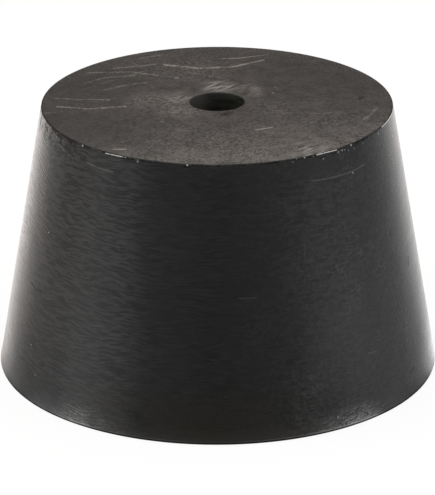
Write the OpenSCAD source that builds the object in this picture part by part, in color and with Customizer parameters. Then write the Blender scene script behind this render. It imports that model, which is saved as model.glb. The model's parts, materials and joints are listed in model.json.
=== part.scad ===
// One-hole laboratory stopper, moulded in black rubber as a single piece.
// It stands on its large end, with the small end up, and the hole runs right through along Z.
// The solid is one turned profile, radius along X and height along Y, swept round the Z axis.
// Lengths are in millimetres and angles in degrees.

/* [Body] */
// Diameter across the large end, over its rounded rim
large_d = 41; // [36:0.5:50]
// Diameter across the small end, where the lines of the wall and the crown meet
small_d = 32.4; // [28:0.1:35]
// Length from end to end
height = 25.4; // [20:0.2:40]

/* [Hole] */
// Diameter of the hole that grips a glass tube or a thermometer
bore_d = 5; // [3:0.1:12]
// Radius that breaks the edge of the hole at both ends
bore_edge_r = 0.15; // [0.05:0.05:0.5]

/* [Small end] */
// Width of the band of the face that falls away towards the rim
crown_w = 5; // [3:0.5:6]
// How far that band falls below the flat middle of the face
crown_drop = 0.16; // [0.05:0.01:0.4]
// Radius of the rim between the crown and the wall
small_rim_r = 0.1; // [0.1:0.05:0.6]

/* [Large end] */
// Height of the band above the base where the wall flares out
foot_h = 2; // [1.5:0.1:4]
// How much further than the rest of the wall the foot leans out
foot_lean = 3; // [1:0.5:15]
// Radius of the rim that the stopper stands on
large_rim_r = 0.3; // [0.1:0.05:0.4]

/* [Hidden] */
$fn = 128;

rubber = [0.13, 0.13, 0.13];

// Short segments in each rounded corner of the profile
arc_steps = 10;

bore_r = bore_d / 2;
small_r = small_d / 2;
large_r = large_d / 2;

// Lean of the wall from the vertical, as a whole and at its foot
wall_lean = atan((large_r - small_r) / height);
foot_tilt = wall_lean + foot_lean;

// Length that each outer rim's arc takes from the lines on both sides of its corner
large_rim_run = large_rim_r * tan(45 + foot_tilt / 2);
small_rim_run = small_rim_r * tan(45 - wall_lean / 2);

// Direction from one point to another
function heading(from, to) = atan2(to.y - from.y, to.x - from.x);

// Angle turned between two headings, from -180 to 180
function turn(before, after) = (after - before + 540) % 360 - 180;

// Angle turned at a corner of the profile
function corner_turn(prev, corner, next) =
    turn(heading(prev, corner), heading(corner, next));

// Radius whose arc takes a given length from the lines on both sides of a corner
function run_radius(prev, corner, next, run) =
    run / tan(abs(corner_turn(prev, corner, next)) / 2);

// Points of the arc of radius r that rounds a corner
function arc_corner(prev, corner, next, r) =
    let (
        before = heading(prev, corner),
        swing = corner_turn(prev, corner, next),
        side = sign(swing),
        start = corner - r * tan(abs(swing) / 2) * [cos(before), sin(before)],
        centre = start + side * r * [-sin(before), cos(before)]
    )
    [
        for (i = [0 : arc_steps])
            let (a = before - side * 90 + swing * i / arc_steps)
            centre + r * [cos(a), sin(a)]
    ];

// Corners of the profile before they are rounded, anticlockwise from the hole's lower edge
bore_base = [bore_r, 0];
large_rim = [large_r - large_rim_r + large_rim_run, 0];
foot_knee = large_rim + foot_h / 2 * [-tan(foot_tilt), 1];
small_rim = [small_r, height - crown_drop];
crown_knee = [small_r - crown_w / 2, height];
bore_top = [bore_r, height];
corners = [bore_base, large_rim, foot_knee, small_rim, crown_knee, bore_top];

// The foot and the crown curve over all of their bands but the rims
foot_curve_r = run_radius(large_rim, foot_knee, small_rim, foot_h / 2 - large_rim_run);
crown_curve_r = run_radius(small_rim, crown_knee, bore_top, crown_w / 2 - small_rim_run);
radii = [bore_edge_r, large_rim_r, foot_curve_r, small_rim_r, crown_curve_r, bore_edge_r];

module profile() {
    n = len(corners);
    polygon([
        for (i = [0 : n - 1])
            each arc_corner(corners[(i + n - 1) % n], corners[i], corners[(i + 1) % n], radii[i])
    ]);
}

module stopper() {
    color(rubber)
        rotate_extrude()
            profile();
}

stopper();
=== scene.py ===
"""Dresses a one-hole laboratory stopper of black moulded rubber for a plain studio view.

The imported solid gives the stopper's size. Its body is modelled again here at that size, finely enough
for the light to show its rims and the slight unevenness of moulded rubber, and it is finished with
procedural materials. Sizes in the classes are in millimetres unless their names say otherwise. Meshes
are in metres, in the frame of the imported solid.

Azimuths, elevations and the camera's roll are in degrees. Azimuths run round the stopper's axis: 0
faces the camera, and positive ones are on its right.
"""

import json
import logging
import math
from collections.abc import Iterable, Mapping
from dataclasses import dataclass
from enum import Enum, IntEnum

import bmesh
import bpy
from mathutils import Euler, Matrix, Vector, noise


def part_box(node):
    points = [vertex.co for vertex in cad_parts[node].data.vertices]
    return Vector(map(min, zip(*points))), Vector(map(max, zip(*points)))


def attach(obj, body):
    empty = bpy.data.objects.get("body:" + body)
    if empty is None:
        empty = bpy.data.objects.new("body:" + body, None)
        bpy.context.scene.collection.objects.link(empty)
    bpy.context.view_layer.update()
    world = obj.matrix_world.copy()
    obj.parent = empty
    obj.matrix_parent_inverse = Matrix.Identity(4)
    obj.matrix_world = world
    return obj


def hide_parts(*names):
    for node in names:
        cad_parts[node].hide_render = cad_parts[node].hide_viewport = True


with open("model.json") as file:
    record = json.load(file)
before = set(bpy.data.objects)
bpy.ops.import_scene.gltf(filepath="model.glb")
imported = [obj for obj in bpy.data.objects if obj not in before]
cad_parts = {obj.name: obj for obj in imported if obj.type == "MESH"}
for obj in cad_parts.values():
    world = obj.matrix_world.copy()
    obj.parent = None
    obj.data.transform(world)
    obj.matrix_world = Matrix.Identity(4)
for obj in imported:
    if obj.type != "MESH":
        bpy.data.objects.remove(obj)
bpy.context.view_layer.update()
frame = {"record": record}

logger = logging.getLogger("stopper")

MM = 0.001
NODE = "stopper"
# Radius at which distances round the wall are measured
WALL_RADIUS = 18.3

Colour = tuple[float, float, float]
Point = tuple[float, float]


class Zone(IntEnum):
    """The parts of the rubber surface that have a finish of their own, as material slots."""

    WALL = 0
    SMALL_END = 1
    LARGE_END = 2
    BORE = 3


class Ray(Enum):
    """Kinds of light path that the studio answers in its own way."""

    CAMERA = "Is Camera Ray"
    GLOSSY = "Is Glossy Ray"


# ---------------------------------------------------------------------------------------------------
# Shader graphs


class Signal:
    """A socket of a shader graph, whose operators add the Math nodes of an expression."""

    def __init__(self, graph: "ShaderGraph", socket: bpy.types.NodeSocket) -> None:
        """Wraps a socket.

        Args:
            graph: The graph that the socket is in.
            socket: The output socket.
        """
        self.graph = graph
        self.socket = socket

    def _math(self, operation: str, *values: "Signal | float") -> "Signal":
        """Adds a Math node."""
        return self.graph.node("ShaderNodeMath", {"operation": operation}, dict(enumerate(values)))

    def __add__(self, other: "Signal | float") -> "Signal":
        """Sum."""
        return self._math("ADD", self, other)

    __radd__ = __add__

    def __mul__(self, other: "Signal | float") -> "Signal":
        """Product."""
        return self._math("MULTIPLY", self, other)

    __rmul__ = __mul__

    def __sub__(self, other: "Signal | float") -> "Signal":
        """Difference."""
        return self._math("SUBTRACT", self, other)

    def __rsub__(self, other: "Signal | float") -> "Signal":
        """Difference from a number."""
        return self._math("SUBTRACT", other, self)

    def __truediv__(self, other: "Signal | float") -> "Signal":
        """Quotient."""
        return self._math("DIVIDE", self, other)

    def __rtruediv__(self, other: "Signal | float") -> "Signal":
        """A number over this value."""
        return self._math("DIVIDE", other, self)

    def __abs__(self) -> "Signal":
        """Absolute value."""
        return self._math("ABSOLUTE", self)

    def larger(self, other: "Signal | float") -> "Signal":
        """The larger of two values."""
        return self._math("MAXIMUM", self, other)

    def smaller(self, other: "Signal | float") -> "Signal":
        """The smaller of two values."""
        return self._math("MINIMUM", self, other)

    def arctan2(self, other: "Signal") -> "Signal":
        """The angle whose tangent is this value over the other, in radians."""
        return self._math("ARCTAN2", self, other)

    def fade(self, start: float, end: float) -> "Signal":
        """Runs smoothly from 0 at one value to 1 at another, which may be the smaller.

        Args:
            start: The value that gives 0.
            end: The value that gives 1.

        Returns:
            The faded signal.
        """
        low, high = min(start, end), max(start, end)
        limits = {"From Min": low, "From Max": high, "To Min": 0.0, "To Max": 1.0}
        if start > end:
            limits.update({"To Min": 1.0, "To Max": 0.0})
        settings = {"interpolation_type": "SMOOTHSTEP"}
        return self.graph.node("ShaderNodeMapRange", settings, {"Value": self, **limits})


class ShaderGraph:
    """The node tree of one material or world, cleared and built up from expressions."""

    def __init__(self, owner: bpy.types.Material | bpy.types.World) -> None:
        """Clears the owner's nodes.

        Args:
            owner: The material or world.
        """
        owner.use_nodes = True
        self.tree = owner.node_tree
        self.tree.nodes.clear()

    def node(
        self,
        kind: str,
        settings: Mapping[str, object] | None = None,
        inputs: Mapping[str | int, object] | None = None,
        output: str | int = 0,
    ) -> Signal:
        """Adds any node.

        Args:
            kind: The node's type.
            settings: Its properties, which are set first. "stops" gives a ramp's positions and greys.
            inputs: Values or signals for its sockets, by name or number.
            output: The output socket that is returned.

        Returns:
            The chosen output.
        """
        made = self.tree.nodes.new(kind)
        for name, value in (settings or {}).items():
            if name == "stops":
                self._set_stops(made.color_ramp, value)
            else:
                setattr(made, name, value)
        for key, value in (inputs or {}).items():
            socket = made.inputs[key]
            if isinstance(value, Signal):
                self.tree.links.new(value.socket, socket)
            else:
                socket.default_value = value
        return Signal(self, made.outputs[output])

    @staticmethod
    def _set_stops(ramp: bpy.types.ColorRamp, stops: Iterable[Point]) -> None:
        """Gives a ramp its stops.

        Args:
            ramp: The ramp.
            stops: Position and grey of each stop, from left to right.
        """
        ramp.interpolation = "EASE"
        for index, (position, grey) in enumerate(stops):
            stop = ramp.elements[index] if index < 2 else ramp.elements.new(position)
            stop.position = position
            stop.color = (grey, grey, grey, 1.0)

    def vector(self, operation: str, *values: "Signal | tuple", output: str = "Vector") -> Signal:
        """Adds a Vector Math node.

        Args:
            operation: The node's operation.
            values: Its vectors.
            output: "Vector", or "Value" for a length or a dot product.

        Returns:
            The chosen output.
        """
        inputs = dict(enumerate(values))
        return self.node("ShaderNodeVectorMath", {"operation": operation}, inputs, output)

    def scaled(self, vector: Signal, factor: "Signal | float") -> Signal:
        """A vector times a number."""
        return self.node("ShaderNodeVectorMath", {"operation": "SCALE"}, {0: vector, "Scale": factor})

    def parts(self, vector: Signal) -> tuple[Signal, Signal, Signal]:
        """The three components of a vector."""
        split = self.node("ShaderNodeSeparateXYZ", {}, {0: vector})
        sockets = split.socket.node.outputs
        return split, Signal(self, sockets[1]), Signal(self, sockets[2])

    def joined(self, x: "Signal | float", y: "Signal | float", z: "Signal | float") -> Signal:
        """A vector of three numbers."""
        return self.node("ShaderNodeCombineXYZ", {}, {0: x, 1: y, 2: z})

    def noise(
        self, vector: Signal, size: float, detail: float = 2.0, rough: float = 0.5, offset: float = 0.0
    ) -> Signal:
        """Smooth noise.

        Args:
            vector: The coordinates, in millimetres.
            size: Length of a typical feature, in millimetres.
            detail: How many finer layers are added.
            rough: The strength of each finer layer.
            offset: Shifts the pattern, so that two noises differ.

        Returns:
            Values round 0.5.
        """
        moved = self.vector("ADD", vector, (offset, offset, offset)) if offset else vector
        inputs = {"Vector": moved, "Scale": 1.0 / size, "Detail": detail, "Roughness": rough}
        return self.node("ShaderNodeTexNoise", {}, inputs)

    def blend(self, factor: Signal, first: "Signal | Colour", second: "Signal | Colour") -> Signal:
        """A mix of two colours.

        Args:
            factor: 0 for the first colour and 1 for the second.
            first: The first colour.
            second: The second colour.

        Returns:
            The mixed colour.
        """
        ends = [c if isinstance(c, Signal) else (*c, 1.0) for c in (first, second)]
        return self.node("ShaderNodeMix", {"data_type": "RGBA"}, {0: factor, 6: ends[0], 7: ends[1]}, 2)

    def finish(self, surface: Signal, kind: str = "ShaderNodeOutputMaterial") -> None:
        """Ends the graph with its output node.

        Args:
            surface: The surface shader.
            kind: The output node's type.
        """
        made = self.tree.nodes.new(kind)
        self.tree.links.new(surface.socket, made.inputs["Surface"])


# ---------------------------------------------------------------------------------------------------
# Marks on the rubber


@dataclass(frozen=True)
class Stroke:
    """A scuff or a scratch along a bent line, in a surface's flat coordinates."""

    points: tuple[Point, ...]
    width: float
    strength: float

    def mask(self, graph: ShaderGraph, place: Signal) -> Signal:
        """The stroke's mask, which is its strength in the middle and 0 outside.

        Args:
            graph: The graph that it is added to.
            place: The surface coordinates, in millimetres.

        Returns:
            The mask.
        """
        nearest = None
        for start, end in zip(self.points, self.points[1:]):
            along = (end[0] - start[0], end[1] - start[1], 0.0)
            square = along[0] ** 2 + along[1] ** 2
            offset = graph.vector("SUBTRACT", place, (*start, 0.0))
            share = graph.vector("DOT_PRODUCT", offset, along, output="Value") / square
            share = share.larger(0.0).smaller(1.0)
            foot = graph.node("ShaderNodeVectorMath", {"operation": "SCALE"}, {0: along, "Scale": share})
            distance = graph.vector("DISTANCE", offset, foot, output="Value")
            nearest = distance if nearest is None else nearest.smaller(distance)
        return nearest.fade(self.width / 2, self.width / 8) * self.strength


@dataclass(frozen=True)
class Patch:
    """A cloudy patch of bloom, a dark blotch, or a patch of painted shade or sheen, round a point of a
    surface.
    """

    centre: Point
    radius: float
    strength: float

    def mask(self, graph: ShaderGraph, place: Signal) -> Signal:
        """The patch's mask, which fades out from its centre.

        Args:
            graph: The graph that it is added to.
            place: The surface coordinates, in millimetres.

        Returns:
            The mask.
        """
        distance = graph.vector("DISTANCE", place, (*self.centre, 0.0), output="Value")
        return distance.fade(self.radius, 0.0) * self.strength


def brightest(graph: ShaderGraph, place: Signal, marks: Iterable[Stroke | Patch]) -> Signal:
    """The masks of several marks together.

    Args:
        graph: The graph that they are added to.
        place: The surface coordinates, in millimetres.
        marks: The marks.

    Returns:
        The largest mask at each point.
    """
    total = None
    for mark in marks:
        mask = mark.mask(graph, place)
        total = mask if total is None else total.larger(mask)
    return total


# ---------------------------------------------------------------------------------------------------
# Finishes


@dataclass(frozen=True)
class RubberFinish:
    """What every zone of the rubber has in common."""

    name: str
    dark: Colour
    pale: Colour
    # Dull dark colour of ragged hollows, also used for lines of painted shade along the rims
    pit_and_shade_tone: Colour = (0.008, 0.0075, 0.007)
    ior: float = 1.5

    def material(self) -> bpy.types.Material:
        """Builds the material, which each zone does in its own way."""
        raise NotImplementedError

    def start(self) -> tuple[bpy.types.Material, ShaderGraph, Signal]:
        """Makes the material.

        Returns:
            The material, its graph, and the object coordinates in millimetres.
        """
        material = bpy.data.materials.new(self.name)
        graph = ShaderGraph(material)
        place = graph.scaled(graph.node("ShaderNodeTexCoord", {}, {}, "Object"), 1.0 / MM)
        return material, graph, place

    def close(
        self,
        graph: ShaderGraph,
        colour: Signal,
        roughness: Signal,
        relief: Signal,
        pits_and_shade: Signal | None = None,
    ) -> None:
        """Ends the material with the rubber shader.

        Args:
            graph: The material's graph.
            colour: The base colour.
            roughness: The roughness.
            relief: The height of the fine relief, in millimetres.
            pits_and_shade: Where a dull dark shader is mixed in, for ragged hollows and for painted
                shade, if anywhere.
        """
        bump = {"Height": relief, "Distance": MM, "Strength": 1.0}
        normal = graph.node("ShaderNodeBump", {}, bump)
        inputs = {"Base Color": colour, "Roughness": roughness, "IOR": self.ior, "Normal": normal}
        rubber = graph.node("ShaderNodeBsdfPrincipled", {}, inputs)
        if pits_and_shade is not None:
            torn_and_shaded = graph.node("ShaderNodeBsdfDiffuse", {}, {"Color": (*self.pit_and_shade_tone, 1.0)})
            rubber = graph.node("ShaderNodeMixShader", {}, {0: pits_and_shade, 1: rubber, 2: torn_and_shaded})
        graph.finish(rubber)

    @staticmethod
    def specks(graph: ShaderGraph, place: Signal, spacing: float, radius: float, share: float) -> Signal:
        """Specks of dust.

        Args:
            graph: The material's graph.
            place: The coordinates, in millimetres.
            spacing: The mean distance between possible specks.
            radius: The radius of a speck.
            share: The share of the possible specks that are there.

        Returns:
            A mask of the specks.
        """
        cell = graph.node("ShaderNodeTexVoronoi", {}, {"Vector": place, "Scale": 1.0 / spacing})
        chance = Signal(graph, cell.socket.node.outputs["Color"])
        picked = graph.parts(chance)[0].fade(share * 1.02, share * 0.98)
        return cell.fade(radius / spacing, radius / spacing * 0.4) * picked


@dataclass(frozen=True)
class WallSpot:
    """Where a point of the wall lies, as signals."""

    place: Signal
    x: Signal
    z: Signal
    around: Signal
    aside: Signal
    flat: Signal

    @classmethod
    def on(cls, graph: ShaderGraph, place: Signal) -> "WallSpot":
        """Works out the spot from the object coordinates.

        Args:
            graph: The material's graph.
            place: The coordinates, in millimetres.

        Returns:
            The spot. "around" is its distance round the wall to the right of the front, "aside" is the
            same on either side, and "flat" is the wall unrolled.
        """
        x, y, z = graph.parts(place)
        around = x.arctan2(y * -1.0) * WALL_RADIUS
        return cls(place, x, z, around, abs(around), graph.joined(around, z, 0.0))


@dataclass(frozen=True)
class Wear:
    """Masks of what use has done to the wall, with painted glints where its foot catches the light and
    painted shade along its upper rim and under its foot.
    """

    lit_foot: Signal
    dust_and_glints: Signal
    chalked: Signal
    blotted: Signal
    pits_and_shade: Signal


@dataclass(frozen=True, kw_only=True)
class WallFinish(RubberFinish):
    """The satin wall, with fine wavy creases that run round it, light scratches, pale specks and painted
    glints and shade.
    """

    height: float
    name: str = "rubber_wall"
    dark: Colour = (0.003, 0.003, 0.0029)
    pale: Colour = (0.0195, 0.0195, 0.0194)
    # Painted shade: the colour that darkens a band of the wall below the upper rim on the right
    painted_shade_tone: Colour = (0.0065, 0.0065, 0.0064)
    stain: Colour = (0.0138, 0.0122, 0.0095)
    # Pale colour of scratches and specks, also used for painted glints and a faint painted highlight on
    # the lit foot
    chalk_and_highlight: Colour = (0.5, 0.5, 0.48)
    roughness: float = 0.27
    strand_length: float = 1.35
    strand_width: float = 0.16
    strand_depth: float = 0.026
    band_squeeze: float = 0.12
    band_width: float = 0.7
    pebble_size: float = 0.45
    pebble_depth: float = 0.016
    wave_size: float = 5.0
    wave_depth: float = 0.05
    dust_depth: float = 0.02
    scratches: tuple[Stroke, ...] = ()
    crumbs: tuple[Patch, ...] = ()
    blots: tuple[Stroke, ...] = ()
    creases: tuple[Patch, ...] = (Patch((-18.2, 23.8), 3.4, 1.3),)

    def material(self) -> bpy.types.Material:
        """Builds the material.

        Returns:
            The material.
        """
        material, graph, place = self.start()
        x, y, z = graph.parts(place)
        spot = WallSpot.on(graph, place)
        wear = self._wear(graph, spot)

        wave = graph.noise(place, self.wave_size, detail=2.0)
        ripple = graph.noise(place, 1.5, detail=1.0, offset=3.0)
        lifted = z + wave * 1.4 + ripple * 0.3
        squeeze = self.strand_width / self.strand_length
        combed = graph.joined(x * squeeze, y * squeeze, lifted)
        strand = graph.noise(combed, self.strand_width, detail=1.5)
        drawn = graph.joined(x * self.band_squeeze, y * self.band_squeeze, lifted)
        band = graph.noise(drawn, self.band_width, detail=2.0, offset=31.0)
        cluster = graph.noise(place, 2.6, detail=2.0, offset=19.0).fade(0.3, 0.6)
        pebble = graph.noise(place, self.pebble_size, detail=3.0, rough=0.6, offset=41.0)
        cloud = graph.noise(place, 4.0, detail=3.0, rough=0.55, offset=7.0)

        coarse = x.fade(0.5, 10.0)
        vivid = self._vivid(spot)
        lively = self._lively(graph, spot, coarse, vivid) + wear.lit_foot * 0.4
        streaks = (strand - 0.5) * (cluster * 0.5 + 0.5) * lively
        pebbly = coarse * spot.around.fade(27.0, 18.0)
        pebbled = (pebble - 0.5) * (pebbly * 0.9 + 0.1)

        tone = (streaks * 1.5 + pebbled * 0.6 + (cloud - 0.5) * 0.05).fade(-0.15, 0.15)
        tone = (tone - 0.5) * (vivid * 0.45 + 0.55) + 0.5
        colour = graph.blend(tone, self.dark, self.pale)
        colour = graph.blend(self._stained(spot) * cluster, colour, self.stain)
        # Painted shade: a darker band below the upper rim on the right
        colour = graph.blend(self._painted_shade_under_rim(spot), colour, self.painted_shade_tone)
        curled = abs(graph.noise(place, 0.9, detail=1.0, offset=71.0) - 0.5).fade(0.035, 0.0)
        dust_and_glints = wear.dust_and_glints.larger(curled * cloud.fade(0.5, 0.62) * coarse * 0.035)
        colour = graph.blend(dust_and_glints.larger(wear.chalked), colour, self.chalk_and_highlight)

        rough = streaks * 0.15 + (band - 0.5) * 0.08 + pebbled * 0.2 + (cloud - 0.5) * 0.03
        grained = (pebble - 0.5) * (pebbly + wear.lit_foot * 3.0 + 0.4) * self.pebble_depth
        relief = streaks * self.strand_depth + grained + wave * self.wave_depth
        relief = relief + (dust_and_glints - wear.blotted) * self.dust_depth
        self.close(graph, colour, rough + self.roughness, relief, wear.pits_and_shade)
        return material

    def _wear(self, graph: ShaderGraph, spot: WallSpot) -> Wear:
        """Finds where the wall is scratched, flecked pale, stained dark or chipped, where its foot
        catches the light, and where lines of painted shade lie along the upper rim and the foot.

        Args:
            graph: The material's graph.
            spot: Where the point lies.

        Returns:
            The masks.
        """
        broken = graph.noise(spot.place, 0.3, detail=2.0, offset=53.0)
        notched = graph.noise(spot.place, 1.3, detail=2.0, offset=61.0).fade(0.38, 0.6)
        flaked = graph.noise(spot.place, 0.55, detail=2.0, offset=83.0).fade(0.52, 0.62)
        depth = self.height - spot.z
        upper = depth.fade(0.8, 0.5) * spot.around.fade(5.0, 9.0) * 0.5
        corner = depth.fade(2.6, 0.6) * spot.around.fade(-14.0, -19.0)
        # The two patches of the foot that catch the light; the pale specks and faint pale wash put there
        # below are painted glints and highlight
        lit_foot = spot.z.fade(2.4, 0.6) * spot.aside.fade(7.0, 10.0) * spot.aside.fade(17.0, 13.0) * 0.6

        crumbled = self.specks(graph, spot.place, spacing=0.5, radius=0.12, share=0.5)
        dust_and_glints = self.specks(graph, spot.place, spacing=2.2, radius=0.08, share=0.12)
        # Crumbs along the upper rim and at the corner; on the lit foot the same specks and a faint pale
        # wash are painted glints and highlight
        dust_and_glints = dust_and_glints.larger(crumbled * upper.larger(lit_foot * 0.35).larger(corner * 0.4))
        dust_and_glints = dust_and_glints.larger(lit_foot * notched * 0.05)
        chalked = brightest(graph, spot.flat, self.scratches) * broken.fade(0.2, 0.45)
        chalked = chalked.larger(brightest(graph, spot.flat, self.crumbs))
        blotted = brightest(graph, spot.flat, self.blots) * broken.fade(0.25, 0.45)

        # A broken dark line along the upper rim, painted shade
        rim = depth.fade(0.42, 0.28) * broken.fade(0.66, 0.4) * (notched * 0.7 + 0.3)
        rim = rim * (spot.around.fade(22.0, 17.0) * 0.8 + 0.2)
        # A dark line along the very bottom of the wall, the painted contact shadow under the foot
        foot = spot.z.fade(0.36, 0.18)
        pits_and_shade = blotted.larger(rim * 0.8).larger(foot * 0.8).larger(flaked * corner * 0.6)
        return Wear(lit_foot, dust_and_glints, chalked, blotted, pits_and_shade * (1.0 - chalked))

    @staticmethod
    def _vivid(spot: WallSpot) -> Signal:
        """Where the creases stand out most, on both sides of the front.

        Args:
            spot: Where the point lies.

        Returns:
            The mask.
        """
        left = spot.around.fade(-6.5, -9.5) * spot.around.fade(-34.0, -24.0)
        right = spot.around.fade(6.5, 9.5) * spot.around.fade(16.0, 13.0)
        return left.larger(right * 0.5) * spot.z.fade(1.5, 4.0)

    def _lively(self, graph: ShaderGraph, spot: WallSpot, coarse: Signal, vivid: Signal) -> Signal:
        """How strong the creases are.

        Args:
            graph: The material's graph.
            spot: Where the point lies.
            coarse: 1 on the right, where a coarser grain takes the creases' place.
            vivid: Where the creases stand out most.

        Returns:
            Their strength, which is round 1.
        """
        lively = (spot.aside.fade(4.0, 9.0) * 0.75 + 0.25) * (1.0 - coarse * 0.65) * (vivid * 0.2 + 1.0)
        lively = lively + spot.around.fade(-10.0, -18.0) * (spot.z.fade(8.0, 14.0) - 0.5)
        return lively + brightest(graph, spot.flat, self.creases)

    @staticmethod
    def _stained(spot: WallSpot) -> Signal:
        """Where the lower wall is brownish, in front."""
        return spot.z.fade(6.5, 0.5) * abs(spot.around + 2.5).fade(13.0, 5.0)

    @staticmethod
    def _painted_shade_under_rim(spot: WallSpot) -> Signal:
        """Where the wall is painted darker, as shade under the upper rim on the right."""
        return spot.z.fade(22.0, 24.2) * spot.around.fade(6.0, 10.0) * spot.around.fade(19.0, 15.0) * 0.8


@dataclass(frozen=True, kw_only=True)
class EndFinish(RubberFinish):
    """The dull end faces, mottled with a pale warm bloom, which may carry patches of painted shade and a
    painted sheen along the front.
    """

    rim: float
    name: str = "rubber_end"
    dark: Colour = (0.0135, 0.0108, 0.0095)
    pale: Colour = (0.046, 0.038, 0.034)
    # Pale colour of bloom and marks, also used for the painted sheen along the front
    chalk_and_highlight: Colour = (0.27, 0.25, 0.225)
    # Painted shade: the colour that the patches of painted shade darken the face to
    painted_shade_tone: Colour = (0.008, 0.007, 0.006)
    roughness: float = 0.4
    brush_turn_deg: float = 42.0
    brush_stretch: float = 4.5
    strokes: tuple[Stroke, ...] = ()
    crumbs: tuple[Stroke | Patch, ...] = ()
    # Patches of bloom; those at the front of the face also paint part of its front sheen
    blooms_and_sheen: tuple[Patch, ...] = ()
    # Smears; the one near the front edge also paints part of the front sheen
    smears_and_sheen: tuple[Patch, ...] = ()
    blotches: tuple[Patch, ...] = ()
    # Patches of painted shade, where the face is darker because of how the light falls
    painted_shades: tuple[Patch, ...] = ()
    # Strength of the painted sheen that pales the front of the face, the side towards the camera
    front_sheen: float = 0.0

    def material(self) -> bpy.types.Material:
        """Builds the material.

        Returns:
            The material.
        """
        material, graph, place = self.start()
        x, y, _ = graph.parts(place)
        flat = graph.joined(x, y, 0.0)
        reach = graph.vector("LENGTH", flat, output="Value")
        mottle = graph.noise(place, 1.4, detail=4.0, rough=0.65)
        cloud = graph.noise(place, 6.0, detail=2.0, rough=0.5, offset=13.0)
        grit = graph.noise(place, 0.3, detail=3.0, rough=0.75, offset=5.0)
        turn = (0.0, 0.0, math.radians(self.brush_turn_deg))
        inputs = {"Vector": place, "Rotation": turn, "Scale": (self.brush_stretch, 1.0, 1.0)}
        turned = graph.node("ShaderNodeMapping", {"vector_type": "TEXTURE"}, inputs)
        brushed = graph.noise(turned, 0.32, detail=3.0, rough=0.6, offset=23.0)

        grain = (mottle * 0.3 + cloud * 0.15 + grit * 0.55).fade(0.4, 0.6)
        shaken = graph.vector("ADD", flat, graph.scaled(graph.joined(mottle - 0.5, grit - 0.5, 0.0), 0.7))
        colour = graph.blend(grain, self.dark, self.pale)
        chalked = self.specks(graph, place, spacing=2.0, radius=0.09, share=0.16)
        # Painted sheen: the front of the face, towards the camera, is paled where a reflection would
        # light it
        if self.front_sheen:
            front = reach.fade(5.0, 15.0) * ((y * 0.95 - x * 0.3) / reach).fade(0.1, -0.9) * grain
            chalked = chalked.larger(front * self.front_sheen)
        layers = (
            (self.blooms_and_sheen, grit.fade(0.38, 0.66)),
            (self.smears_and_sheen, brushed.fade(0.4, 0.66)),
            (self.strokes, (grit * 0.6 + mottle * 0.4).fade(0.36, 0.56)),
        )
        for marks, texture in layers:
            if marks:
                chalked = chalked.larger(brightest(graph, shaken, marks) * texture)
        if self.crumbs:
            chalked = chalked.larger(brightest(graph, flat, self.crumbs))
        colour = graph.blend(chalked, colour, self.chalk_and_highlight)
        # The dull line round the edge of the face is painted dark, as shade; the blotches added to it are
        # real dark marks
        sunk_and_shaded = reach.fade(self.rim - 0.14, self.rim - 0.06)
        if self.blotches:
            sunk_and_shaded = sunk_and_shaded.larger(brightest(graph, shaken, self.blotches) * grit.fade(0.7, 0.4))
        # Patches of painted shade darken parts of the face
        if self.painted_shades:
            colour = graph.blend(brightest(graph, flat, self.painted_shades), colour, self.painted_shade_tone)
        rough = (grit - 0.5) * 0.25 + (mottle - 0.5) * 0.2 + chalked * 0.1 + self.roughness
        relief = grit * 0.02 + mottle * 0.03 + chalked * 0.01 - sunk_and_shaded * 0.02
        self.close(graph, colour, rough, relief, sunk_and_shaded * 0.8)
        return material


@dataclass(frozen=True)
class BoreFinish(RubberFinish):
    """The wall of the hole, dark and a little smoother than the ends, with painted light on its left
    side.
    """

    name: str = "rubber_bore"
    dark: Colour = (0.0125, 0.0125, 0.0105)
    pale: Colour = (0.025, 0.025, 0.0215)
    # Painted light: the lighter colour of the hole's left side, where light falls into it
    painted_light_side: Colour = (0.051, 0.048, 0.044)
    roughness: float = 0.5
    ior: float = 1.25

    def material(self) -> bpy.types.Material:
        """Builds the material.

        Returns:
            The material.
        """
        material, graph, place = self.start()
        x, y, z = graph.parts(place)
        rings = graph.noise(graph.joined(x * 0.2, y * 0.2, z), 0.35, detail=3.0, rough=0.6)
        cloud = graph.noise(place, 1.6, detail=3.0)
        colour = graph.blend((rings * 0.7 + cloud * 0.3).fade(0.4, 0.6), self.dark, self.pale)
        # Painted light: the hole's left side is lighter
        colour = graph.blend(x.fade(-0.2, -1.7) * 0.9, colour, self.painted_light_side)
        self.close(graph, colour, (rings - 0.5) * 0.2 + self.roughness, rings * 0.01)
        return material


# ---------------------------------------------------------------------------------------------------
# The stopper


@dataclass(frozen=True)
class Corner:
    """A corner of the turned profile and the arc that rounds it."""

    radius: float
    height: float
    run: float
    segments: int


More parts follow.
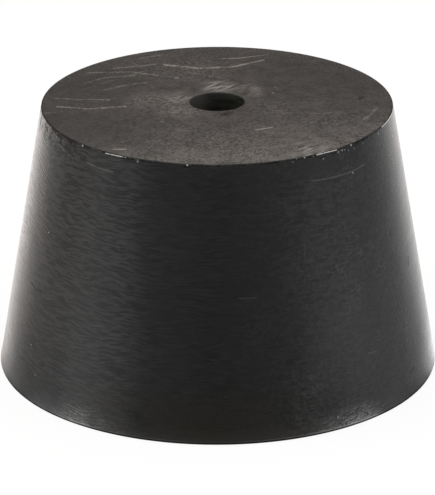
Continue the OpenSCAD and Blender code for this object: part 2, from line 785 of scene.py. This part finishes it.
@dataclass(frozen=True)
class StopperForm:
    """Sizes of the stopper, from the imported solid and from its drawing."""

    large_d: float
    height: float
    bore_d: float
    bore_edge_r: float
    small_d: float = 32.4
    crown_w: float = 5.0
    crown_drop: float = 0.16
    small_rim_r: float = 0.1
    foot_h: float = 2.0
    foot_lean_deg: float = 3.0
    large_rim_r: float = 0.3

    @classmethod
    def from_frame(cls) -> "StopperForm":
        """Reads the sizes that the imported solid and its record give.

        Returns:
            The form.
        """
        low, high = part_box(NODE)
        bore = next(m for m in frame["record"]["mounts"] if m["kind"] == "bore")["dims"]
        height = (high.z - low.z) / MM
        return cls(
            large_d=(high.x - low.x) / MM,
            height=height,
            bore_d=2 * bore["r_mm"],
            bore_edge_r=(height - bore["length_mm"]) / 2,
        )

    def wall_lean(self) -> float:
        """Mean lean of the wall from the vertical, in radians."""
        return math.atan((self.large_d - self.small_d) / 2 / self.height)

    def corners(self) -> list[Corner]:
        """The profile's corners, from the hole's lower edge outwards and up to its upper edge.

        Returns:
            The corners.
        """
        lean = self.wall_lean()
        foot_tilt = lean + math.radians(self.foot_lean_deg)
        large_run = self.large_rim_r * math.tan(math.pi / 4 + foot_tilt / 2)
        small_run = self.small_rim_r * math.tan(math.pi / 4 - lean / 2)
        rim = self.large_d / 2 - self.large_rim_r + large_run
        knee = self.foot_h / 2
        small_r = self.small_d / 2
        return [
            Corner(self.bore_d / 2, 0.0, self.bore_edge_r, 4),
            Corner(rim, 0.0, large_run, 8),
            Corner(rim - knee * math.tan(foot_tilt), knee, knee - large_run, 10),
            Corner(small_r, self.height - self.crown_drop, small_run, 8),
            Corner(small_r - self.crown_w / 2, self.height, self.crown_w / 2 - small_run, 12),
            Corner(self.bore_d / 2, self.height, self.bore_edge_r, 4),
        ]


@dataclass
class RubberBody:
    """The one moulded piece of the stopper."""

    form: StopperForm
    turns: int = 640
    sectors: int = 16
    fine_spacing: float = 0.5
    coarse_spacing: float = 1.6
    small_end_from_deg: float = 50.0
    large_end_from_deg: float = 45.0
    unevenness: float = 0.02
    unevenness_size: float = 6.0

    def build(self) -> bpy.types.Object:
        """Models the body.

        Returns:
            The mesh object, in metres.
        """
        mesh = bmesh.new()
        self._draw_profile(mesh)
        self._turn_profile(mesh)
        bmesh.ops.recalc_face_normals(mesh, faces=mesh.faces)
        self._mark_zones(mesh)
        self._relax(mesh)
        bmesh.ops.scale(mesh, vec=(MM, MM, MM), verts=mesh.verts)
        data = bpy.data.meshes.new("stopper_body")
        mesh.to_mesh(data)
        mesh.free()
        data.shade_smooth()
        body = bpy.data.objects.new("stopper_body", data)
        bpy.context.scene.collection.objects.link(body)
        logger.info("%s: %d faces", body.name, len(data.polygons))
        return body

    def _draw_profile(self, mesh: bmesh.types.BMesh) -> None:
        """Draws the profile as a closed wire in the XZ plane, with its corners rounded.

        Args:
            mesh: The empty mesh that takes it.
        """
        corners = self.form.corners()
        points = [mesh.verts.new((c.radius, 0.0, c.height)) for c in corners]
        for start, end in zip(points, points[1:] + points[:1]):
            mesh.edges.new((start, end))
        for point, corner in zip(points, corners):
            bmesh.ops.bevel(
                mesh,
                geom=[point],
                offset=corner.run,
                offset_type="OFFSET",
                segments=corner.segments,
                profile=0.5,
                affect="VERTICES",
                material=-1,
            )
        for edge in [e for e in mesh.edges if e.calc_length() > 2 * self.coarse_spacing]:
            middle = (edge.verts[0].co + edge.verts[1].co) / 2
            seen = middle.z > 0 and middle.x > self.form.bore_d / 2 + self.form.bore_edge_r
            spacing = self.fine_spacing if seen else self.coarse_spacing
            cuts = round(edge.calc_length() / spacing) - 1
            bmesh.ops.subdivide_edges(mesh, edges=[edge], cuts=cuts)

    def _turn_profile(self, mesh: bmesh.types.BMesh) -> None:
        """Turns the profile through one sector, and repeats the sector all the way round.

        Args:
            mesh: The mesh that holds the profile.
        """
        centre = (0.0, 0.0, 0.0)
        bmesh.ops.spin(
            mesh,
            geom=mesh.verts[:] + mesh.edges[:],
            cent=centre,
            axis=(0.0, 0.0, 1.0),
            angle=math.tau / self.sectors,
            steps=self.turns // self.sectors,
        )
        sector = mesh.verts[:] + mesh.edges[:] + mesh.faces[:]
        for number in range(1, self.sectors):
            copy = bmesh.ops.duplicate(mesh, geom=sector)["geom"]
            corners = [item for item in copy if isinstance(item, bmesh.types.BMVert)]
            turn = Matrix.Rotation(math.tau * number / self.sectors, 3, "Z")
            bmesh.ops.rotate(mesh, cent=centre, matrix=turn, verts=corners)
        bmesh.ops.remove_doubles(mesh, verts=mesh.verts, dist=0.001)

    def _mark_zones(self, mesh: bmesh.types.BMesh) -> None:
        """Gives each face the material slot of its zone.

        Args:
            mesh: The body.
        """
        form = self.form
        bore_limit = form.bore_d / 2 + form.bore_edge_r / 2
        for face in mesh.faces:
            centre = face.calc_center_median()
            radius = math.hypot(centre.x, centre.y)
            if radius < bore_limit:
                face.material_index = Zone.BORE
            elif face.normal.z > math.sin(math.radians(self.small_end_from_deg)):
                face.material_index = Zone.SMALL_END
            elif face.normal.z < -math.sin(math.radians(self.large_end_from_deg)):
                face.material_index = Zone.LARGE_END
            else:
                face.material_index = Zone.WALL

    def _relax(self, mesh: bmesh.types.BMesh) -> None:
        """Gives the surface the slight unevenness of moulded rubber.

        Args:
            mesh: The body.
        """
        mesh.normal_update()
        moves = [(vertex, self._shift(vertex.co, vertex.normal)) for vertex in mesh.verts]
        for vertex, shift in moves:
            vertex.co += shift

    def _shift(self, place: Vector, normal: Vector) -> Vector:
        """How far a point of the surface moves, which leaves the hole and the standing face in place.

        Args:
            place: The point.
            normal: The surface normal there.

        Returns:
            The move.
        """
        form = self.form
        radius = math.hypot(place.x, place.y)
        free = min(1.0, max(0.0, (radius - form.bore_d / 2) / 2)) * min(1.0, place.z)
        sink = self.unevenness * free * (noise.noise(place / self.unevenness_size) * 0.5 + 0.5)
        return -normal * sink

    def dress(self, body: bpy.types.Object, finishes: Mapping[Zone, RubberFinish]) -> None:
        """Gives the body its materials and its place in the frame.

        Args:
            body: The mesh object.
            finishes: The finish of each zone.
        """
        for zone in Zone:
            body.data.materials.append(finishes[zone].material())
        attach(body, "root")
        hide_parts(NODE)


# ---------------------------------------------------------------------------------------------------
# Studio


@dataclass(frozen=True)
class SoftBox:
    """A square lamp that faces the stopper, with its power in watts."""

    name: str
    azimuth: float
    elevation: float
    distance: float
    size: float
    power: float

    def build(self, target: Vector) -> None:
        """Adds the lamp.

        Args:
            target: The point that it faces.
        """
        light = bpy.data.lights.new(self.name, "AREA")
        light.shape = "SQUARE"
        light.size = self.size * MM
        light.energy = self.power
        lamp = bpy.data.objects.new(self.name, light)
        bpy.context.scene.collection.objects.link(lamp)
        turn, rise = math.radians(self.azimuth), math.radians(self.elevation)
        away = Vector((math.sin(turn) * math.cos(rise), -math.cos(turn) * math.cos(rise), math.sin(rise)))
        lamp.location = target + away * self.distance * MM
        lamp.rotation_euler = away.to_track_quat("Z", "Y").to_euler()
        lamp.visible_camera = False
        lamp.visible_glossy = False


@dataclass(frozen=True)
class Glow:
    """How brightly one ring of the surround shows in the rubber, from the front round to the back.

    On the floor, "distance" is how far outside the foot the ring lies.
    """

    left: tuple[float, ...]
    right: tuple[float, ...]
    distance: float = 0.0


@dataclass(frozen=True)
class Studio:
    """A white sweep whose reflections are darker on the camera's side, with soft boxes beside it."""

    floor_size: float = 4000.0
    shadow_radius: float = 90.0
    shadow_share: float = 0.1
    boxes: tuple[SoftBox, ...] = (
        SoftBox("box_left", -78.0, 15.0, 700.0, 320.0, 1.5),
        SoftBox("box_right", 76.0, 15.0, 700.0, 320.0, 1.0),
    )
    # Azimuth of the wall that mirrors each step of a glow, where 1 is 90 degrees
    bearings: tuple[float, ...] = (0.0, 0.22, 0.33, 0.44, 0.555, 0.7, 0.8, 0.9, 1.0)
    rings: tuple[Glow, ...] = (
        Glow(
            left=(0.8, 1.6, 2.7, 7.4, 1.9, 0.5, 0.7, 0.9, 1.3),
            right=(0.8, 2.0, 4.9, 7.4, 0.9, 0.4, 0.6, 1.4, 2.2),
        ),
        Glow(
            distance=5.5,
            left=(0.0, 0.1, 0.5, 1.0, 0.55, 0.45, 0.57, 1.2, 1.65),
            right=(0.0, 0.1, 0.1, 0.55, 0.6, 0.5, 0.6, 0.82, 1.5),
        ),
        Glow(
            distance=40.0,
            left=(0.0, 0.25, 1.0, 1.1, 0.75, 0.55, 1.05, 1.75, 1.85),
            right=(0.15, 0.2, 0.87, 1.0, 0.65, 0.5, 0.86, 1.33, 1.5),
        ),
        Glow(
            distance=180.0,
            left=(0.0, 0.25, 0.55, 0.7, 0.35, 0.7, 1.0, 2.05, 2.7),
            right=(0.0, 0.3, 0.45, 0.45, 0.35, 0.6, 1.4, 2.3, 2.7),
        ),
    )
    sky: Glow = Glow(
        left=(0.4, 0.21, 0.6, 0.87, 0.5, 0.23, 0.18, 0.14, 0.1),
        right=(0.25, 0.26, 0.5, 0.5, 0.37, 0.2, 0.16, 0.13, 0.1),
    )
    sky_low: float = 0.44
    sky_high: float = 0.6
    sky_glow: float = 1.25
    contact_width: float = 0.9
    contact_level: float = 0.1
    contact_limits: tuple[float, float] = (0.72, 0.9)
    warm_tint: Colour = (1.06, 1.0, 0.965)

    def build(self, form: StopperForm) -> None:
        """Builds the floor, the world and the lamps.

        Args:
            form: The stopper's sizes.
        """
        self._build_floor(form)
        self._build_world()
        for box in self.boxes:
            box.build(Vector((0.0, 0.0, form.height / 2 * MM)))

    def _level(self, graph: ShaderGraph, glow: Glow, bearing: Signal, right: Signal) -> Signal:
        """How bright a ring is all the way round.

        Args:
            graph: The graph that it is added to.
            glow: The ring.
            bearing: 0 in front, 1 behind.
            right: 0 on the left, 1 on the right.

        Returns:
            The brightness.
        """
        ends = []
        for steps in (glow.left, glow.right):
            stops = tuple(zip(self.bearings, steps))
            ramp = graph.node("ShaderNodeValToRGB", {"stops": stops}, {"Fac": bearing})
            ends.append(graph.parts(ramp)[0])
        return ends[0] + (ends[1] - ends[0]) * right

    def _tinted(self, graph: ShaderGraph, shade: Signal, x: Signal, y: Signal, reach: Signal) -> Signal:
        """Warms the glow behind the stopper, most of all on the left.

        Args:
            graph: The graph that it is added to.
            shade: The glow.
            x: Distance to the right.
            y: Distance to the back.
            reach: Distance from the stopper's axis.

        Returns:
            The glow as a colour.
        """
        warmth = ((x * -0.55 + y * 0.85) / reach).fade(-0.1, 0.8)
        tint = graph.blend(warmth, (1.0, 1.0, 1.0), self.warm_tint)
        return graph.scaled(tint, shade)

    def _build_floor(self, form: StopperForm) -> None:
        """Adds the floor, which is white to the camera apart from the stopper's soft shadow.

        Args:
            form: The stopper's sizes.
        """
        mesh = bmesh.new()
        bmesh.ops.create_grid(mesh, x_segments=1, y_segments=1, size=self.floor_size / 2 * MM)
        data = bpy.data.meshes.new("floor")
        mesh.to_mesh(data)
        mesh.free()
        floor = bpy.data.objects.new("floor", data)
        bpy.context.scene.collection.objects.link(floor)
        data.materials.append(self._floor_material(form))

    def _floor_material(self, form: StopperForm) -> bpy.types.Material:
        """The floor's material.

        Args:
            form: The stopper's sizes.

        Returns:
            The material.
        """
        material = bpy.data.materials.new("studio_floor")
        graph = ShaderGraph(material)
        place = graph.scaled(graph.node("ShaderNodeTexCoord", {}, {}, "Object"), 1.0 / MM)
        reach = graph.vector("LENGTH", place, output="Value")
        lit = reach.fade(self.shadow_radius, self.shadow_radius / 2) * self.shadow_share
        white = graph.node("ShaderNodeBsdfDiffuse", {}, {"Color": (1.0, 1.0, 1.0, 1.0)})
        plain = graph.node("ShaderNodeEmission", {}, {"Strength": 1.0})
        seen = graph.node("ShaderNodeMixShader", {}, {0: lit, 1: plain, 2: white})

        glow = self._floor_glow(graph, form, place, reach)
        mirrored = graph.node("ShaderNodeEmission", {}, {"Color": glow, "Strength": 1.0})
        paper = graph.node("ShaderNodeBsdfDiffuse", {}, {"Color": (0.8, 0.8, 0.8, 1.0)})
        other = self._by_ray(graph, Ray.GLOSSY, paper, mirrored)
        graph.finish(self._by_ray(graph, Ray.CAMERA, other, seen))
        return material

    def _floor_glow(self, graph: ShaderGraph, form: StopperForm, place: Signal, reach: Signal) -> Signal:
        """What the rubber mirrors of the floor, which is rings of light and dark round the foot.

        Args:
            graph: The floor's graph.
            form: The stopper's sizes.
            place: The coordinates, in millimetres.
            reach: Distance from the stopper's axis.

        Returns:
            The glow as a colour.
        """
        x, y, _ = graph.parts(place)
        foot = form.large_d / 2
        # The wall mirrors near floor straight out from it, and far floor at twice its own azimuth
        spread = 2.0 - (foot / reach).smaller(1.0)
        bearing = abs(x.arctan2(y * -1.0)) / spread / math.radians(90)
        right = (x / reach).fade(-0.5, 0.5)
        shade = self._level(graph, self.rings[0], bearing, right)
        for inner, outer in zip(self.rings, self.rings[1:]):
            step = reach.fade(foot + inner.distance, foot + outer.distance)
            shade = shade + (self._level(graph, outer, bearing, right) - shade) * step
        contact = reach.fade(foot, foot + self.contact_width)
        contact = contact * (1.0 - self.contact_level) + self.contact_level
        shade = shade * contact.larger(bearing.fade(*self.contact_limits))
        return self._tinted(graph, shade, x, y, reach)

    @staticmethod
    def _by_ray(graph: ShaderGraph, ray: Ray, other: Signal, own: Signal) -> Signal:
        """Gives one kind of light path its own shader.

        Args:
            graph: The graph that it is added to.
            ray: The kind of light path.
            other: The shader for every other kind.
            own: The shader for this kind.

        Returns:
            The chosen shader.
        """
        chosen = graph.node("ShaderNodeLightPath", {}, {}, ray.value)
        return graph.node("ShaderNodeMixShader", {}, {0: chosen, 1: other, 2: own})

    def _build_world(self) -> None:
        """Makes the world white to the camera and a soft surround to everything else."""
        world = bpy.data.worlds.new("studio")
        bpy.context.scene.world = world
        graph = ShaderGraph(world)
        direction = graph.node("ShaderNodeTexCoord", {}, {}, "Generated")
        x, y, z = graph.parts(direction)
        bearing = abs(x.arctan2(y * -1.0)) / math.pi
        reach = graph.vector("LENGTH", graph.joined(x, y, 0.001), output="Value")
        low = self._level(graph, self.sky, bearing, (x / reach).fade(-0.5, 0.5))
        shade = low + (self.sky_glow - low) * z.fade(self.sky_low, self.sky_high)
        tinted = self._tinted(graph, shade, x, y, reach)
        surround = graph.node("ShaderNodeBackground", {}, {"Color": tinted, "Strength": 1.0})
        white = graph.node("ShaderNodeBackground", {}, {"Color": (1.0, 1.0, 1.0, 1.0), "Strength": 1.0})
        graph.finish(self._by_ray(graph, Ray.CAMERA, surround, white), "ShaderNodeOutputWorld")


@dataclass(frozen=True)
class Viewpoint:
    """The camera, level with the front and looking down a little."""

    elevation: float = 21.8
    roll: float = -0.17
    distance: float = 350.5
    aim_height: float = 10.92
    focal: float = 272.7

    def build(self) -> None:
        """Adds the camera and makes it the scene's own."""
        camera = bpy.data.objects.new("camera", bpy.data.cameras.new("camera"))
        bpy.context.scene.collection.objects.link(camera)
        camera.data.lens = self.focal
        camera.data.clip_start = MM
        rise = math.radians(self.elevation)
        away = Vector((0.0, -math.cos(rise), math.sin(rise)))
        aim = Vector((0.0, 0.0, self.aim_height))
        tilt = Euler((math.pi / 2 - rise, 0.0, 0.0)).to_matrix()
        turn = tilt @ Matrix.Rotation(math.radians(self.roll), 3, "Z")
        place = Matrix.Translation((aim + away * self.distance) * MM)
        camera.matrix_world = place @ turn.to_4x4()
        bpy.context.scene.camera = camera


# Marks on the small end, and patches of painted shade and sheen, at their distances to the right of its
# centre and behind it
SMALL_END_MARKS = {
    "strokes": (
        Stroke(((-15.6, -2.6), (-14.2, -2.4)), 0.3, 0.4),
        Stroke(((-15.0, 1.3), (-12.4, 0.7), (-9.9, 0.6)), 0.35, 0.51),
        Stroke(((-14.6, -1.0), (-11.8, -1.9), (-8.4, -1.2)), 0.45, 0.58),
        Stroke(((-10.4, 3.4), (-8.2, 4.9), (-6.6, 5.3)), 0.5, 0.36),
        Stroke(((-12.8, 4.9), (-10.6, 6.8), (-7.8, 7.4)), 0.4, 0.43),
        Stroke(((-12.2, 8.4), (-8.0, 8.4), (-3.6, 6.6)), 0.3, 0.65),
        Stroke(((-10.2, 9.4), (-5.8, 10.6)), 0.35, 0.51),
        Stroke(((-4.9, 10.4), (-1.6, 9.4), (1.8, 9.9), (4.3, 11.7)), 0.6, 0.72),
        Stroke(((0.2, 12.2), (2.2, 12.3), (4.8, 13.6)), 0.45, 0.5),
        Stroke(((-7.4, 12.6), (-5.2, 13.6)), 0.4, 0.4),
        Stroke(((-8.2, 11.6), (-6.6, 8.8)), 0.26, 0.29),
        Stroke(((-2.6, 8.2), (0.4, 6.6)), 0.3, 0.29),
        Stroke(((-13.0, 3.0), (-6.5, 9.0)), 0.22, 0.23),
        Stroke(((7.0, -7.3), (9.3, -5.0)), 0.5, 0.2),
        Stroke(((7.7, -7.5), (9.9, -5.3)), 0.5, 0.2),
        Stroke(((13.4, -4.9), (14.1, -3.0), (14.7, -1.7)), 0.45, 0.5),
        Stroke(((6.0, -14.1), (8.2, -13.0), (10.2, -11.6)), 1.6, 0.3),
        Stroke(((8.8, -3.3), (10.0, -3.1), (11.4, -2.9)), 0.35, 0.3),
    ),
    "crumbs": (
        Stroke(((3.5, -7.65), (4.95, -7.0)), 0.34, 0.7),
        Stroke(((-9.2, -12.25), (-8.2, -12.35)), 0.4, 0.9),
        Stroke(((2.2, -10.9), (2.8, -10.5)), 0.2, 0.35),
        Patch((5.45, 3.85), 0.16, 0.7),
        Patch((5.6, 3.2), 0.13, 0.5),
        Patch((5.2, 2.35), 0.2, 0.8),
        Patch((5.95, -8.5), 0.36, 0.35),
        Patch((0.4, -12.1), 0.16, 0.5),
        Patch((0.15, -10.8), 0.15, 0.4),
        Patch((6.1, -11.9), 0.16, 0.5),
        Patch((-2.4, -10.2), 0.2, 0.6),
        Patch((-5.0, -5.4), 0.24, 0.4),
        Patch((-0.4, -9.6), 0.16, 0.5),
    ),
    "blooms_and_sheen": (
        Patch((-3.9, 0.45), 2.6, 0.55),
        Patch((-6.2, 0.4), 3.4, 0.35),
        Patch((-3.4, -2.4), 3.4, 0.4),
        Patch((-2.5, 9.0), 5.0, 0.16),
        Patch((-3.4, -8.0), 4.5, 0.16),
        Patch((5.4, -8.6), 6.0, 0.18),
        # These two, at the front, also paint part of the front sheen
        Patch((0.3, -10.4), 4.5, 0.28),
        Patch((3.4, -13.6), 3.6, 0.5),
        Patch((5.6, -2.2), 4.0, 0.14),
    ),
    "smears_and_sheen": (
        Patch((0.2, 4.1), 2.4, 1.0),
        Patch((2.9, 3.5), 1.8, 0.7),
        Patch((-3.2, 1.2), 2.4, 0.5),
        Patch((7.4, -10.0), 5.0, 0.25),
        # This one, near the front edge, also paints part of the front sheen
        Patch((8.4, -12.9), 4.2, 0.8),
        Patch((3.4, 2.3), 1.6, 0.5),
    ),
    "blotches": (
        Patch((0.85, -3.4), 1.1, 1.0),
        Patch((4.1, -1.0), 0.9, 0.5),
        Patch((13.2, 1.0), 0.8, 0.8),
        Patch((8.3, -12.0), 0.3, 0.6),
    ),
    # Patches of painted shade, where the face is darker because of how the light falls
    "painted_shades": (
        Patch((-12.0, -8.5), 9.0, 0.65),
        Patch((-13.0, 4.5), 8.5, 0.55),
        Patch((-15.6, -4.5), 5.0, 0.7),
        Patch((-6.0, -12.5), 3.5, 0.4),
        Patch((13.0, -1.5), 7.0, 0.5),
        Patch((9.5, -7.8), 3.0, 0.3),
        Patch((11.0, 5.0), 11.0, 0.45),
        Patch((6.5, 8.5), 7.0, 0.45),
    ),
}

# Marks on the wall, at their distances round it to the right of the front, and their heights
WALL_MARKS = {
    "scratches": (
        Stroke(((-14.4, 23.75), (-12.5, 23.64), (-11.0, 23.6)), 0.2, 0.07),
        Stroke(((9.7, 22.97), (11.9, 22.83), (14.9, 22.78), (16.8, 22.95)), 0.2, 0.07),
        Stroke(((1.9, 13.3), (3.5, 13.28)), 0.14, 0.04),
        Stroke(((14.15, 6.12), (15.1, 6.0)), 0.16, 0.06),
        Stroke(((-12.1, 25.1), (-10.8, 25.13), (-9.6, 25.15)), 0.11, 1.0),
        Stroke(((10.5, 25.17), (11.9, 25.17), (13.1, 25.14)), 0.11, 1.0),
        Stroke(((21.4, 25.16), (23.8, 25.17), (25.6, 25.15)), 0.18, 0.8),
    ),
    "crumbs": (
        Patch((-15.3, 25.1), 0.15, 0.9),
        Patch((-8.2, 25.0), 0.22, 0.25),
        Patch((-3.0, 25.15), 0.15, 0.9),
        Patch((8.2, 25.18), 0.11, 0.5),
        Patch((9.1, 25.17), 0.14, 0.8),
        Patch((11.3, 24.7), 0.12, 0.5),
        Patch((13.3, 24.9), 0.14, 0.5),
        Patch((14.2, 24.9), 0.11, 0.4),
        Patch((15.2, 25.12), 0.15, 0.9),
        Patch((14.95, 22.65), 0.16, 0.45),
        Patch((24.3, 23.4), 0.15, 0.9),
        Patch((-19.6, 24.5), 0.22, 0.15),
        Patch((-19.4, 5.2), 0.12, 0.4),
        Patch((-18.1, 2.8), 0.12, 0.4),
        Patch((10.3, 1.3), 0.15, 0.4),
    ),
    "blots": (
        Stroke(((-21.4, 25.1), (-19.8, 25.0), (-18.9, 24.85)), 0.4, 0.7),
        Stroke(((-17.8, 25.15), (-17.1, 24.95)), 0.5, 0.7),
        Stroke(((-9.4, 25.05), (-8.6, 25.1)), 0.2, 0.8),
        Stroke(((-7.7, 25.05), (-6.6, 25.06)), 0.18, 0.6),
        Stroke(((-3.3, 24.96), (-2.8, 24.96)), 0.3, 0.6),
        Stroke(((10.9, 24.84), (11.3, 24.87)), 0.25, 0.6),
        Stroke(((12.5, 24.96), (12.9, 24.93)), 0.25, 0.6),
        Stroke(((13.7, 24.8), (14.0, 24.85)), 0.25, 0.6),
        Stroke(((15.6, 24.95), (16.6, 24.98)), 0.2, 0.5),
        Stroke(((-21.0, 10.6), (-20.0, 10.35), (-18.8, 10.45)), 0.26, 0.4),
        Stroke(((22.6, 11.6), (22.9, 12.2)), 0.5, 0.4),
        Stroke(((19.6, 2.3), (20.4, 2.5)), 0.3, 0.4),
    ),
}


def main() -> None:
    """Builds the stopper, the studio and the camera, in that order."""
    logging.basicConfig(level=logging.INFO, format="%(message)s")
    form = StopperForm.from_frame()
    body = RubberBody(form)
    finishes = {
        Zone.WALL: WallFinish(height=form.height, **WALL_MARKS),
        Zone.SMALL_END: EndFinish(
            name="rubber_small_end", rim=form.small_d / 2, front_sheen=0.26, **SMALL_END_MARKS
        ),
        Zone.LARGE_END: EndFinish(name="rubber_large_end", rim=form.large_d / 2),
        Zone.BORE: BoreFinish(),
    }
    body.dress(body.build(), finishes)
    Studio().build(form)
    Viewpoint().build()
    bpy.context.scene.view_settings.view_transform = "Standard"


if __name__ == "__main__":
    main()
